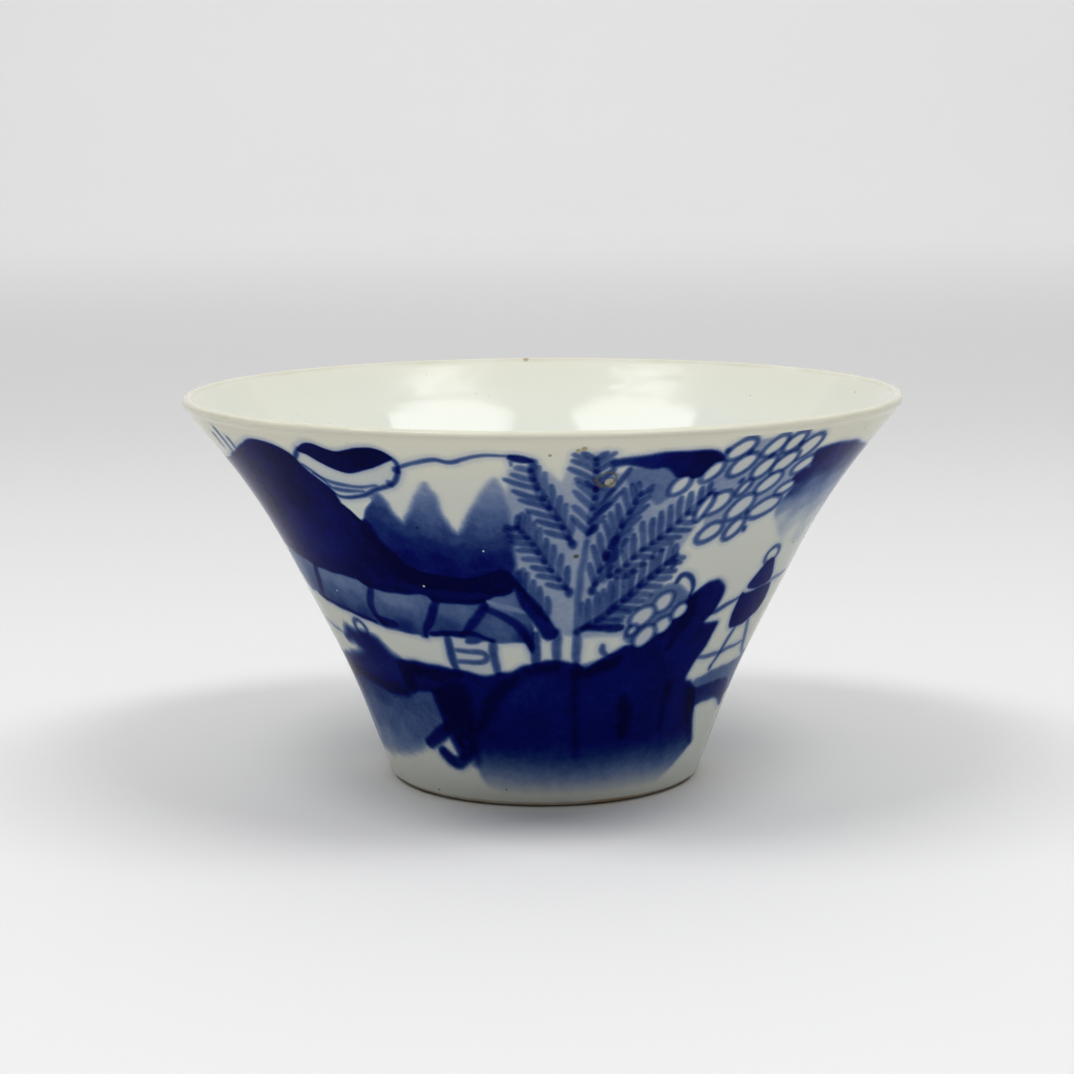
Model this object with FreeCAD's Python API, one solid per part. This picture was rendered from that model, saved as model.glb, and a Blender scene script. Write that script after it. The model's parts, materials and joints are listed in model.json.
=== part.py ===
import FreeCAD, Part
import math
import os

# A small flared porcelain teacup without a handle, millimetres, +Z up.
# The origin is the middle of the circle that the foot stands on, and the cup is round about Z.
#
# The clay is one turned bowl seated on a foot ring. Over it lies the fired glaze, laid on in
# coats: one poured inside, one dipped outside, one over the lip and one brushed under the foot.
# Only the rim that the foot stands on stays bare. Every piece comes from one half section: the
# finished outline, and the clay's outline, which is the same one taken in by the glaze.

# Overall sizes
height = 45.7                # table to the top of the lip
mouth_radius = 42.0          # the widest circle of the rounded lip
foot_radius = 18.2           # where the outer wall's line meets the table, before rounding

# Outer wall: a steep foot cone, a body cone and a wide mouth cone, joined by long arcs
waist_height = 12.8          # where the foot cone and the body cone meet
waist_out = 4.65             # the waist's radius past the foot's
waist_round = 81.0
flare_depth = 11.6           # where the body cone and the mouth cone meet, below the lip
flare_in = 9.15              # the flare's radius inside the mouth's
flare_round = 72.0

# Inside: the wall, measured level, and the well that it runs down to
wall_at_lip = 1.55
wall_at_flare = 2.15
well_radius = 16.4           # where the inner wall's line meets the floor, before rounding
well_round = 13.0
floor_thickness = 3.2        # clay and glaze together, over the foot's hollow
lip_outer_round = 0.58
lip_inner_round = 0.55

# Foot ring
foot_ring_width = 3.0        # at the table, before rounding
foot_hollow = 3.0            # from the table up to the base inside the ring
foot_lean = 0.4              # the ring's inner face leans in by this much up to the base
heel_round = 1.2
foot_inner_round = 0.7
base_round = 1.2
seat_step = 1.0              # the bowl's floor drops into the ring by this much
seat_margin = 0.6            # the seat's edge, inside the corner of the base

# Glaze
glaze = 0.25
bare_rim = 0.7               # the height above the table where the glaze stops
lip_band = 1.3               # the depth of the coat over the lip

FULL_TURN = 360.0
RUN_SHARE = 0.98             # two neighbouring roundings share at most this much of their run
TINY = 1e-9


class Corner:
    """A corner of an outline, its rounding, and how deep the glaze is on the run after it."""

    def __init__(self, radius, z, rounding=0.0, coat=glaze):
        self.place = FreeCAD.Vector(radius, 0, z)
        self.rounding = rounding
        self.coat = coat


def along(corners, i):
    """The vector of the run from corner i to the next one."""
    return corners[(i + 1) % len(corners)].place - corners[i].place


def turn(corners, i):
    """The angle that the outline turns through at corner i, positive to the left."""
    before = along(corners, i - 1)
    after = along(corners, i)
    return math.atan2(before.x * after.z - before.z * after.x, before.dot(after))


def reach(corners, i):
    """How far from corner i its rounding starts and ends."""
    return corners[i].rounding * abs(math.tan(turn(corners, i) / 2))


def fitted(corners):
    """The corners with each rounding cut down to what the runs beside it have room for."""
    count = len(corners)
    reaches = [reach(corners, i) for i in range(count)]
    room = []
    for i in range(count):
        taken = reaches[i] + reaches[(i + 1) % count]
        room.append(RUN_SHARE * along(corners, i).Length / max(taken, TINY))
    result = []
    for i, corner in enumerate(corners):
        rounding = corner.rounding * min(1.0, room[i - 1], room[i])
        result.append(Corner(corner.place.x, corner.place.z, rounding, corner.coat))
    return result


def taken_in(corners):
    """The outline inside its coats: each run moves in by its own coat and the arcs stay parallel."""
    result = []
    for i, corner in enumerate(corners):
        before = along(corners, i - 1).normalize()
        after = along(corners, i).normalize()
        angle = turn(corners, i)
        depth_before = corners[i - 1].coat
        depth_after = corner.coat
        shift = (before * depth_after - after * depth_before) * (-1 / math.sin(angle))
        place = corner.place + shift
        rounding = corner.rounding
        if rounding and depth_before == depth_after:
            rounding -= math.copysign(depth_after, angle)
        result.append(Corner(place.x, place.z, rounding, corner.coat))
    return result


def face_of(corners):
    """The face inside an outline, with a tangent arc at each rounded corner."""
    edges = []
    for i, corner in enumerate(corners):
        before = along(corners, i - 1).normalize()
        after = along(corners, i).normalize()
        half = abs(turn(corners, i)) / 2
        length = reach(corners, i)
        end = corner.place + after * length
        if corner.rounding:
            bisector = (after - before).normalize()
            middle = corner.place + bisector * (corner.rounding * (1 / math.cos(half) - 1))
            start = corner.place - before * length
            edges.append(Part.Arc(start, middle, end).toShape())
        following = (i + 1) % len(corners)
        stop = corners[following].place - after * reach(corners, following)
        edges.append(Part.LineSegment(end, stop).toShape())
    return Part.Face(Part.Wire(edges))


def block(inside, low, high):
    """A face across the half section, outwards from a radius and between two heights."""
    outside = 2 * mouth_radius
    corners = [Corner(inside, low), Corner(outside, low), Corner(outside, high), Corner(inside, high)]
    return face_of(corners)


def finished_outline():
    """The half section's corners, left-handed from the middle of the base round to the floor."""
    lean = math.atan2(flare_in, flare_depth)
    mouth_line = mouth_radius + lip_outer_round * (math.tan(lean) + 1 / math.cos(lean) - 1)
    waist_radius = foot_radius + waist_out
    flare_radius = mouth_line - flare_in
    flare_height = height - flare_depth
    ring_inside = foot_radius - foot_ring_width
    floor_top = foot_hollow + floor_thickness
    return fitted([
        Corner(0, foot_hollow),
        Corner(ring_inside - foot_lean, foot_hollow, base_round),
        Corner(ring_inside, 0, foot_inner_round, coat=0),
        Corner(foot_radius, 0, heel_round),
        Corner(waist_radius, waist_height, waist_round),
        Corner(flare_radius, flare_height, flare_round),
        Corner(mouth_line, height, lip_outer_round),
        Corner(mouth_line - wall_at_lip, height, lip_inner_round),
        Corner(flare_radius - wall_at_flare, flare_height, flare_round),
        Corner(well_radius, floor_top, well_round),
        Corner(0, floor_top, coat=0),
    ])


def clay_faces(clay):
    """The foot ring and the bowl, parted by the stepped seat between them."""
    seat_inside = foot_radius - foot_ring_width - foot_lean - base_round - seat_margin
    seat_top = foot_hollow + glaze + seat_step
    ring = clay.common(block(seat_inside, 0, seat_top))
    return ring, clay.cut(ring)


def coat_faces(coats):
    """The lip, outside, inside and base coats, told apart by where they lie."""
    lip_line = height - lip_band
    lip = coats.common(block(0, lip_line, height))
    rest = coats.common(block(0, bare_rim, lip_line))
    base, inner, outer = sorted(rest.Faces, key=lambda face: face.BoundBox.XMax)
    return lip, outer, inner, base


def write(name, face):
    """Turn a half section about the axis and save the solid."""
    axis = FreeCAD.Vector(0, 0, 1)
    solid = face.Faces[0].revolve(FreeCAD.Vector(), axis, FULL_TURN)
    solid.exportStep("parts/" + name + ".step")


os.makedirs("parts", exist_ok=True)
outline = finished_outline()
clay_face = face_of(taken_in(outline))
ring_face, bowl_face = clay_faces(clay_face)
lip_face, outer_face, inner_face, base_face = coat_faces(face_of(outline).cut(clay_face))
write("bowl_body", bowl_face)
write("foot_ring", ring_face)
write("outer_glaze", outer_face)
write("lip_glaze", lip_face)
write("inner_glaze", inner_face)
write("base_glaze", base_face)
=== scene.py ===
import json
import math

import bmesh
import bpy
import numpy as np
from mathutils import Matrix


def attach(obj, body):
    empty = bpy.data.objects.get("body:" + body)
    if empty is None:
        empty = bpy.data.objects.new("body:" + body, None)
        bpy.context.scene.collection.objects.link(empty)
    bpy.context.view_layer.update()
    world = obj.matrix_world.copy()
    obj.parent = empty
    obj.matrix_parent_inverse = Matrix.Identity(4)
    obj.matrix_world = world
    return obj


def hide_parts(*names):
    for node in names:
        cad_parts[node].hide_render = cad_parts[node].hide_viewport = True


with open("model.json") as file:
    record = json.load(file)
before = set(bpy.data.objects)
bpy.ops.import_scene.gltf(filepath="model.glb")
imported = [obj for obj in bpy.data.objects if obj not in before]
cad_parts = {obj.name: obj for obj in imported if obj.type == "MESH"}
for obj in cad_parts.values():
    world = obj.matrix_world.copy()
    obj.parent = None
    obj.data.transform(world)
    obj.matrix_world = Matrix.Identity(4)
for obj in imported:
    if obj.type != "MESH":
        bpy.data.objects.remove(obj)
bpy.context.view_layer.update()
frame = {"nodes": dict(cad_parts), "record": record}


# ----------------------------------------------------------------------------
# The clay: white porcelain thrown as one bowl, with a foot ring luted under it and turned true.
# It shows only on the foot's rim, wiped clean before the firing: a fine matt biscuit that the
# kiln toasted a little beside the glaze.
class Material:
    """Short calls that build one finish out of shader nodes."""

    def __init__(self, name):
        self.made = bpy.data.materials.new(name)
        self.made.use_nodes = True
        self.tree = self.made.node_tree
        self.shader = self.tree.nodes["Principled BSDF"]

    def add(self, kind, inputs=(), **settings):
        """Adds a node. A socket among the inputs is linked, and anything else is its value."""
        node = self.tree.nodes.new(kind)
        for key, value in settings.items():
            setattr(node, key, value)
        for key, value in dict(inputs).items():
            if isinstance(value, bpy.types.NodeSocket):
                self.tree.links.new(value, node.inputs[key])
            else:
                node.inputs[key].default_value = value
        return node

    def place(self):
        return self.add("ShaderNodeTexCoord").outputs["Object"]

    def height(self):
        return self.add("ShaderNodeSeparateXYZ", {0: self.place()}).outputs["Z"]

    def distance(self, spot):
        inputs = {0: self.place(), 1: spot}
        return self.add("ShaderNodeVectorMath", inputs, operation="DISTANCE").outputs["Value"]

    def noise(self, scale, detail=3.0, roughness=0.5, vector=None):
        inputs = {"Vector": vector or self.place(), "Scale": scale, "Detail": detail, "Roughness": roughness}
        return self.add("ShaderNodeTexNoise", inputs).outputs["Fac"]

    def level(self, factor, low, high, to_low=0.0, to_high=1.0):
        """Carries a value from one range to another, and holds it at the ends."""
        inputs = {0: factor, 1: low, 2: high, 3: to_low, 4: to_high}
        return self.add("ShaderNodeMapRange", inputs, clamp=True).outputs[0]

    def math(self, operation, first, second):
        return self.add("ShaderNodeMath", {0: first, 1: second}, operation=operation).outputs[0]

    def mix(self, factor, first, second, blend="MIX"):
        colours = {key: (*value, 1.0) if isinstance(value, tuple) else value
                   for key, value in ((6, first), (7, second))}
        inputs = {0: factor, **colours}
        return self.add("ShaderNodeMix", inputs, data_type="RGBA", blend_type=blend).outputs[2]

    def bump(self, height, distance, strength, over=None):
        inputs = {"Height": height, "Distance": distance, "Strength": strength}
        if over:
            inputs["Normal"] = over
        return self.add("ShaderNodeBump", inputs).outputs["Normal"]

    def link(self, **sockets):
        for name, socket in sockets.items():
            self.tree.links.new(socket, self.shader.inputs[name.replace("_", " ")])

    def set(self, **values):
        for name, value in values.items():
            self.shader.inputs[name.replace("_", " ")].default_value = value


BISCUIT = (0.66, 0.61, 0.50)
TOASTED = (0.56, 0.42, 0.27)
KILN_GRIT = (0.30, 0.22, 0.15)

biscuit = Material("bare_porcelain_biscuit")
grain = biscuit.noise(2600.0, 5.0, 0.6)
clay = biscuit.mix(biscuit.level(biscuit.noise(160.0, 2.0), 0.42, 0.68), BISCUIT, TOASTED)
clay = biscuit.mix(biscuit.level(grain, 0.62, 0.72, 0.0, 0.5), clay, KILN_GRIT)
biscuit.link(Base_Color=clay, Roughness=biscuit.level(grain, 0.3, 0.7, 0.62, 0.8),
             Normal=biscuit.bump(grain, 0.00006, 0.7))
for node in ("foot_ring", "bowl_body"):
    slots = frame["nodes"][node].data.materials
    slots.clear()
    slots.append(biscuit.made)

# ----------------------------------------------------------------------------
# The base: glaze brushed over the recess inside the foot ring. It pooled greener in the corner
# and caught a few specks of grit.
MM = 0.001
GLAZE = 0.25                                     # every coat's thickness, millimetres like the rest
CUP_HEIGHT = frame["record"]["size"]["bbox_m"][2] / MM
WAIST = (22.85, 12.8)                            # a radius and a height
FLARE = (33.466, CUP_HEIGHT - 11.6)
MOUTH = (42.616, CUP_HEIGHT)
FLOOR = 6.2                                      # the well's bottom, above the table
BARE_RIM = 0.7                                   # the glaze stops this far above the table
LIP_LINE = CUP_HEIGHT - 1.3                      # the coat over the lip starts here on both sides
STATION_STEP = 0.62                              # between the rings of points, along the outline
TINY = 1e-9
MERGE = 1e-7                                     # points closer than this are one, metres
CRISP = math.radians(35)                         # an edge that turns more than this is shaded sharp

# The half section from the middle of the base, out round the foot, up the wall, over the lip
# and down to the middle of the well: radius, height and the rounding of each corner.
HALF_SECTION = [
    (0.0, 3.0, 0.0), (14.8, 3.0, 1.2), (15.2, 0.0, 0.7), (18.2, 0.0, 1.2),
    (*WAIST, 81.0), (*FLARE, 72.0), (*MOUTH, 0.58),
    (MOUTH[0] - 1.55, CUP_HEIGHT, 0.55), (FLARE[0] - 2.15, FLARE[1], 72.0),
    (16.4, FLOOR, 13.0), (0.0, FLOOR, 0.0),
]


def rounded(corners, step):
    """Stations about a step apart, along the runs and the tangent arcs of an outline."""
    places = [np.array(corner[:2]) for corner in corners]
    arcs = [(places[0], places[0], None, 0.0)]
    for before, here, after, corner in zip(places, places[1:], places[2:], corners[1:]):
        back, ahead = ((other - here) / np.linalg.norm(other - here) for other in (before, after))
        half = math.acos(np.clip(back @ ahead, -1, 1)) / 2
        inward = (back + ahead) / np.linalg.norm(back + ahead)
        reach = corner[2] / math.tan(half)
        centre = here + inward * corner[2] / math.sin(half)
        arcs.append((here + back * reach, here + ahead * reach, centre, math.pi - 2 * half))
    arcs.append((places[-1], places[-1], None, 0.0))
    stations = []
    for (start, stop, centre, sweep), following in zip(arcs, arcs[1:] + [None]):
        if sweep:
            count = max(4, math.ceil(np.linalg.norm(start - centre) * sweep / step))
            for turn in np.linspace(0, sweep, count, endpoint=False):
                spoke = (start - centre) * math.sin(sweep - turn) + (stop - centre) * math.sin(turn)
                stations.append(centre + spoke / math.sin(sweep))
        if following:
            run = following[0] - stop
            count = max(1, math.ceil(np.linalg.norm(run) / step))
            stations.extend(stop + run * share for share in np.arange(count) / count)
    return stations + [places[-1]]


def divided(stations, levels):
    """Divides a line of stations where it crosses each height in turn."""
    pieces = [[stations[0]]]
    levels = list(levels)
    for here, there in zip(stations, stations[1:]):
        if levels and (here[1] - levels[0]) * (there[1] - levels[0]) < 0:
            level = levels.pop(0)
            crossing = here + (there - here) * (level - here[1]) / (there[1] - here[1])
            pieces[-1].append(crossing)
            pieces.append([crossing])
        pieces[-1].append(there)
    return [np.array(piece) for piece in pieces]


base_line, _, wall_line, lip_line, well_line = divided(
    rounded(HALF_SECTION, STATION_STEP), (BARE_RIM, BARE_RIM, LIP_LINE, LIP_LINE))


def coat(line, steps=256, hidden_every=4):
    """A shell of glaze turned about the axis: its line, and the same line a coat's depth inside."""
    along = np.gradient(line, axis=0)
    normals = np.stack([along[:, 1], -along[:, 0]], 1) / np.linalg.norm(along, axis=1)[:, None]
    hidden = line - normals * GLAZE
    on_axis = line[:, 0] < TINY
    hidden[on_axis, 0] = 0.0
    for end in (0, -1):
        if not on_axis[end]:
            hidden[end, 1] = line[end, 1]                    # the end faces are cut level
    hidden = np.vstack([hidden[:-1:hidden_every], hidden[-1:]])[::-1]
    bm = bmesh.new()
    verts = [bm.verts.new((radius * MM, 0, height * MM)) for radius, height in np.vstack([line, hidden])]
    edges = [bm.edges.new(pair) for pair in zip(verts, verts[1:])]
    if not on_axis.any():
        edges.append(bm.edges.new((verts[-1], verts[0])))
    bmesh.ops.spin(bm, geom=verts + edges, cent=(0, 0, 0), axis=(0, 0, 1), angle=2 * math.pi,
                   steps=steps, use_merge=True, use_duplicate=False)
    bmesh.ops.remove_doubles(bm, verts=bm.verts, dist=MERGE)
    bmesh.ops.recalc_face_normals(bm, faces=bm.faces)
    for face in bm.faces:
        face.smooth = True
    for edge in bm.edges:
        edge.smooth = edge.calc_face_angle(0.0) < CRISP
    return bm


def fired(name, bm, finish, node):
    """Makes the shell an object that stands for a coat of the cup."""
    mesh = bpy.data.meshes.new(name)
    bm.to_mesh(mesh)
    bm.free()
    mesh.materials.append(finish.made)
    piece = bpy.data.objects.new(name, mesh)
    bpy.context.scene.collection.objects.link(piece)
    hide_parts(node)
    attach(piece, "root")


GLAZE_WHITE = (0.765, 0.780, 0.700)
POOLED = (0.66, 0.72, 0.66)
SPECK = (0.20, 0.15, 0.10)
GLAZE_CREAM = (0.770, 0.755, 0.625)


def glassy(finish, colour, gloss=0.28):
    """What all the coats share: gloss, a faint orange peel and the throwing rings under it."""
    rings = finish.add("ShaderNodeMapping", {"Vector": finish.place(), "Scale": (18, 18, 420)}).outputs[0]
    peel = finish.bump(finish.noise(260.0, 2.0), 0.00004, 0.5)
    finish.link(Base_Color=colour, Roughness=finish.level(finish.noise(700.0), 0.3, 0.7, 0.06, 0.12),
                Normal=finish.bump(finish.noise(1.0, 1.0, vector=rings), 0.00005, 0.5, peel))
    finish.set(IOR=1.45, Specular_IOR_Level=gloss)


base = Material("base_glaze_pooled")
specks = base.level(base.noise(1500.0, 1.0), 0.76, 0.80)
pool = base.mix(base.level(base.noise(90.0), 0.35, 0.7), GLAZE_WHITE, POOLED)
glassy(base, base.mix(specks, pool, SPECK))
fired("base_coat", coat(base_line), base, "base_glaze")

# ----------------------------------------------------------------------------
# The inside: clear glaze poured in, swirled and tipped out. It is plain white with a faint
# green cast, deepest where it pooled in the well, and has a few pinholes.
GLAZE_COOL = (0.735, 0.762, 0.705)
PINHOLE = (0.34, 0.29, 0.22)

inside = Material("inner_glaze_plain")
cast = inside.mix(inside.level(inside.noise(45.0), 0.35, 0.65), GLAZE_WHITE, GLAZE_COOL)
cast = inside.mix(inside.level(inside.height(), 0.006, 0.030), POOLED, cast)
cast = inside.mix(inside.level(inside.height(), 0.034, 0.0444, 0.0, 0.4), cast, GLAZE_CREAM)
pinholes = inside.level(inside.noise(1900.0, 1.0), 0.785, 0.81)
glassy(inside, inside.mix(pinholes, cast, PINHOLE))
fired("inner_coat", coat(well_line), inside, "inner_glaze")

# ----------------------------------------------------------------------------
# The lip: the glaze ran thin over the rounded edge, so it is creamier there and the clay warms
# it on the crest. One speck of iron burnt through at the back.
GLAZE_THIN = (0.665, 0.645, 0.525)
RUST = (0.42, 0.33, 0.21)
RUST_SPOT = (-0.0022, 0.0410, 0.0455)

lip = Material("lip_glaze_thin")
flat = lip.add("ShaderNodeVectorMath", {0: lip.place(), 1: (1, 1, 0)}, operation="MULTIPLY").outputs["Vector"]
radius = lip.add("ShaderNodeVectorMath", {0: flat}, operation="LENGTH").outputs["Value"]
inner_white = lip.mix(0.4, GLAZE_WHITE, GLAZE_CREAM)
cream = lip.mix(lip.level(radius, 0.0411, 0.0416), inner_white, GLAZE_CREAM)
uneven = lip.level(lip.noise(110.0), 0.3, 0.7, -0.25, 0.25)
crest = lip.math("ADD", lip.level(lip.height(), 0.0450, 0.0457), uneven)
thin = lip.mix(lip.level(crest, 0.35, 1.0), cream, GLAZE_THIN)
rusted = lip.level(lip.distance(RUST_SPOT), 0.0002, 0.0005, 1.0, 0.0)
glassy(lip, lip.mix(rusted, thin, RUST))
fired("lip_coat", coat(lip_line, hidden_every=1), lip, "lip_glaze")

# ----------------------------------------------------------------------------
# The outside and its painting: a river landscape brushed in cobalt on the dry clay, then glazed
# over. A loaded brush gives full strokes that bleed a little, a wet one the pale washes, and the
# darkest pools are where strokes were laid twice.

# A place is degrees round the cup from its front, then millimetres up. A width is in
# millimetres, and a tone runs from 0, bare, to 1.
DEGREE = math.radians(1)
DEGREE_LENGTH = 0.68                             # along the wall near the lip
BLEED = 0.8                                      # how far the cobalt creeps into the glaze round a touch
BLEED_SHARE = 0.012                              # and how much of its depth creeps
REACH = 1.6                                      # past this a touch changes nothing
COARSE = 1.2                                     # mesh spacings, millimetres
FINEST = 0.2
SPREAD = 0.7                                     # how fast the spacing grows away from an edge
PLAIN_BACK = 80                                  # past this the strokes are few and broad
BACK_SPACING = 1.4                               # so the mesh is this much coarser there
DRYING = 1.6                                     # above 1, a fading wash pales mostly at its foot
SHADE_BLUR = 0.3                                 # square millimetres: a shade has no sharp point
NEEDLE_WIDTH = 0.74
NEEDLE_TONE = 0.58


def wall_radius(height):
    return np.interp(height, wall_line[:, 1], wall_line[:, 0])


def flowing(points, closed=False, parts=4):
    """A smooth line through a few places (Catmull and Rom's curve)."""
    points = np.array(points, float)
    if len(points) < 3:
        return points
    ends = (points[-1:], points[:2]) if closed else (points[:1], points[-1:])
    padded = np.vstack([ends[0], points, ends[1]])
    share = np.arange(parts)[:, None] / parts
    pieces = []
    for a, b, c, d in zip(padded, padded[1:], padded[2:], padded[3:]):
        pieces.append(0.5 * (2 * b + (c - a) * share + (2 * a - 5 * b + 4 * c - d) * share ** 2
                             + (3 * b - a - 3 * c + d) * share ** 3))
    return np.vstack(pieces + [padded[-2:-1]])


class Touch:
    """One touch of the brush: a stroke with a width along it, or a filled outline."""

    def __init__(self, line, tone, soft, width=None, shades=None, fade=None, wipes=False):
        self.line, self.tone, self.soft, self.width = line, tone, soft, width
        self.shades, self.fade, self.wipes = shades, fade, wipes
        self.middle = (line[:, 0].min() + line[:, 0].max()) / 2
        self.half = (line[:, 0].max() - line[:, 0].min()) / 2

    def reach(self, angle, height, margin):
        """Which places are near enough to matter, and their angle from the middle of the touch."""
        turn = (angle - self.middle + 180) % 360 - 180
        sideways = margin / (wall_radius(height) * DEGREE)
        low, high = self.line[:, 1].min() - margin, self.line[:, 1].max() + margin
        near = (np.abs(turn) < self.half + sideways) & (height > low) & (height < high)
        return near, turn[near] + self.middle

    def edge(self, turn, height, across, up):
        """How far outside the touch's edge each place is, negative inside it."""
        nearest = np.full(len(turn), 1e9)
        inside = np.zeros(len(turn), bool)
        for i, (start, stop) in enumerate(zip(self.line, self.line[1:])):
            along_x, along_y = (stop[0] - start[0]) * across, (stop[1] - start[1]) * up
            from_x, from_y = (turn - start[0]) * across, (height - start[1]) * up
            square = np.maximum(along_x ** 2 + along_y ** 2, 1e-12)
            share = np.clip((from_x * along_x + from_y * along_y) / square, 0, 1)
            gap = np.hypot(from_x - share * along_x, from_y - share * along_y)
            if self.width is not None:
                gap = gap - (self.width[i] + (self.width[i + 1] - self.width[i]) * share) / 2
            elif start[1] != stop[1]:
                rise = (height - start[1]) / (stop[1] - start[1])
                inside ^= (rise >= 0) & (rise < 1) & (turn < start[0] + rise * (stop[0] - start[0]))
            nearest = np.minimum(nearest, gap)
        return np.where(inside, -nearest, nearest)

    def tones(self, turn, height, across, up):
        """The tone at each place: fading downwards if the wash ran dry, or blended from its shades."""
        if self.fade:
            low, high = self.fade
            share = np.clip((height - low) / (high - low), 0, 1)
            return self.tone * (1 - (1 - share) ** DRYING)
        if not self.shades:
            return self.tone
        total, weights = 0.0, 0.0
        for shade_turn, shade_height, tone in self.shades:
            square = ((turn - shade_turn) * across) ** 2 + ((height - shade_height) * up) ** 2
            weight = 1 / (square + SHADE_BLUR) ** 1.5
            total = total + weight * tone
            weights = weights + weight
        return total / weights


class Painting:
    """All the touches, in the order they were laid."""

    def __init__(self):
        self.touches = []
        self.hand = np.random.default_rng(11)

    def stroke(self, width, tone, *points, start=0.75, end=0.4, soft=0.22):
        """A line drawn with the tip of the brush, thinner at its start and its end."""
        line = flowing(points)
        share = np.linspace(0, 1, len(line))
        swelling, thinning = 0.25, 0.45                      # the shares of the stroke that they take
        body = start + (1 - start) * np.minimum(1, share / swelling)
        tail = end + (1 - end) * np.minimum(1, (1 - share) / thinning)
        self.touches.append(Touch(line, tone, soft, width * np.minimum(body, tail)))

    def strokes(self, width, tone, *lines, **shape):
        for points in lines:
            self.stroke(width, tone, *points, **shape)

    def branch(self, width, tone, stem, count, *sides):
        """A stem from its tip down, with needles flicked off it. A side is which way its needles point."""
        self.stroke(width, tone, *stem, start=0.6, end=0.75, soft=0.26)
        line = flowing(stem, parts=12)
        for side in sides:
            for share in np.linspace(0.05, 0.93, count):
                root = line[int(share * (len(line) - 1))]
                length = np.interp(share, (0, 0.3, 0.8, 1), (0.4, 1, 1.05, 0.8)) * self.hand.uniform(0.9, 1.1)
                bend = self.hand.uniform(-0.12, 0.12, 2)
                needle = np.array(side) * length
                self.stroke(NEEDLE_WIDTH, NEEDLE_TONE + self.hand.uniform(-0.04, 0.05), root + needle,
                            root + 0.5 * needle + bend, root, start=0.7, end=0.8)

    def wash(self, tone, *points, soft=0.3, **changes):
        """A filled shape."""
        self.touches.append(Touch(flowing(points, closed=True, parts=3), tone, soft, **changes))

    def oval(self, centre, across, up, parts=14, lean=0.0):
        """An oval's line. Its lean is how far its top moves sideways, as a share of its width."""
        turns = np.linspace(0, 2 * math.pi, parts + 1)
        sideways = across * (np.cos(turns) + lean * np.sin(turns))
        return np.stack([centre[0] + sideways, centre[1] + up * np.sin(turns)], 1)

    def ring(self, centre, across, up, width=0.5, tone=0.6, light=None, lean=0.0):
        """A berry or a loop: a ring round a size, with its inside left light."""
        if light is not None:
            cleared = 1.12                                   # the light inside runs under the ring
            inside = self.oval(centre, across * cleared, up * cleared, lean=lean)
            self.touches.append(Touch(inside, light, 0.22, wipes=True))
        line = self.oval(centre, across + 0.45 * width, up + 0.35 * width, lean=lean)
        self.touches.append(Touch(line, tone, 0.25, np.full(len(line), width)))

    def dot(self, centre, size, tone):
        line = self.oval(centre, size / 2 / DEGREE_LENGTH, size / 2, parts=8)
        self.touches.append(Touch(line, tone, 0.25))

    def laid(self, places):
        """The tone at each place on the wall, and how fine the mesh should be there."""
        angle = np.degrees(np.arctan2(places[:, 0], -places[:, 1]))
        height = places[:, 2]
        angle = angle + 0.08 * np.sin(height * 1.9 + angle * 0.31)               # an unsteady hand
        height = height + 0.05 * np.sin(angle * 0.9 + height * 0.6)
        across = wall_radius(height) * DEGREE                # a degree's length along the wall
        up = np.hypot(1, wall_radius(height + 0.5) - wall_radius(height - 0.5))  # and a millimetre's
        depth = np.zeros(len(places))
        spacing = np.full(len(places), COARSE)
        for touch in self.touches:
            near, turn = touch.reach(angle, height, REACH)
            if not near.any():
                continue
            here = (turn, height[near], across[near], up[near])
            gap = touch.edge(*here)
            covered = np.clip(0.5 - gap / (2 * touch.soft), 0, 1)
            covered = covered ** 2 * (3 - 2 * covered)
            dark = touch.tones(*here) ** 3
            if touch.wipes:
                depth[near] += covered * (dark - depth[near])
            else:
                bled = BLEED_SHARE * np.clip(1 - gap / BLEED, 0, 1) ** 2
                depth[near] += np.maximum(covered, bled) * dark
            fine = max(FINEST, 0.9 * touch.soft)
            spacing[near] = np.minimum(spacing[near], fine + SPREAD * np.maximum(0, np.abs(gap) - touch.soft))
        spacing[np.abs(angle) > PLAIN_BACK] *= BACK_SPACING
        return np.clip(depth, 0, 1) ** (1 / 3), spacing


painting = Painting()

# The near shore runs round the front of the foot, over a wash that ran dry below it.
painting.wash(
    0.89, (-41, 17.1), (-34, 17.5), (-22.5, 17), (-16, 16.5), (-13, 16.6), (-11, 17), (-8, 17.1),
    (-4.5, 17.9), (2.5, 18.6), (6.5, 18.1), (8, 18.1), (9.5, 17.7), (11, 17.6), (19.5, 19.9),
    (24.5, 19.9), (28, 21.2), (31, 22.9), (32.5, 23.4), (33.5, 25.3), (36.5, 26.5), (38.5, 26.9),
    (40.3, 26.9), (43, 25.6), (42.8, 23.7), (42.2, 23.1), (40.3, 21.9), (41.5, 21.6), (45, 21.5),
    (45.3, 20.8), (44.5, 18.8), (41.5, 15.6), (41.6, 14.8), (42.5, 14.4), (44, 14.2), (45.3, 13.8),
    (48.5, 12.5), (51.5, 9.3), (55.7, 6.1), (54.8, 5.5), (44, 2.4), (36, 1.6), (26, 1.2), (0, 1.3),
    (-10, 1.6), (-17, 2.2), (-21, 3.6), (-24, 8), (-30.3, 12), (-30.5, 13.5), (-33, 13.9), (-37, 13.8),
    (-40, 13.5), soft=0.35, fade=(1.6, 8.6))
painting.strokes(
    1.6, 0.7,
    [(-38, 16.6), (-32, 16.3), (-27, 16.2), (-22, 16.6)],
    [(-7, 16.5), (-12, 14.5), (-16, 12), (-19, 10)],
    [(34, 25), (34.5, 23), (33, 21), (32, 19.3)],
    [(8, 17), (15, 17.5), (19, 18.5)],
    [(-4, 17.3), (3, 17.6)],
    [(22, 13.5), (23.5, 11.5), (24, 8.8)],
    soft=0.6)
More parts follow.
